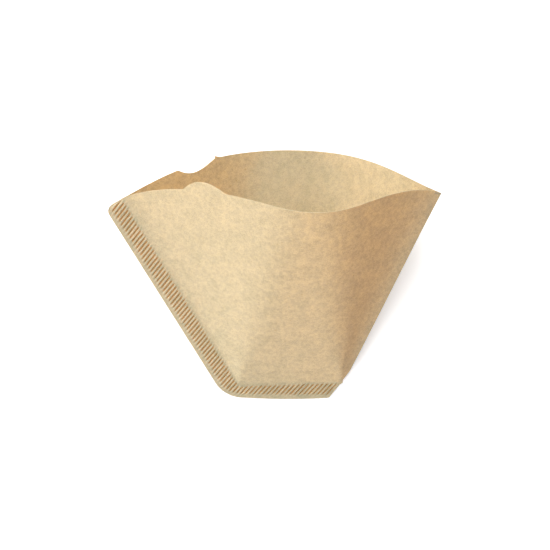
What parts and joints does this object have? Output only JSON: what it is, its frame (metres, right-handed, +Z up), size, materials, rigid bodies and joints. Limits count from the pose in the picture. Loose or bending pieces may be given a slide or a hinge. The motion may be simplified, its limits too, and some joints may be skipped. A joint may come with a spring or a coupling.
{
  "type": "paper coffee filter",
  "caption": "Cone-shaped pocket of unbleached paper with a crimped seam down one side and along the bottom, opened and lying on its back wall.",
  "frame": {"origin": "middle of the bounding box's underside, on the surface that the filter lies on", "axes": "+X across the filter, away from the side seam, +Y from the bottom seam towards the mouth, +Z up through the front wall"},
  "size_m": [0.1456, 0.1176, 0.0729],
  "materials": {
    "paper": "matt unbleached fibrous paper"
  },
  "bodies": {
    "root": {"filter_paper": "paper"}
  },
  "joints": []
}
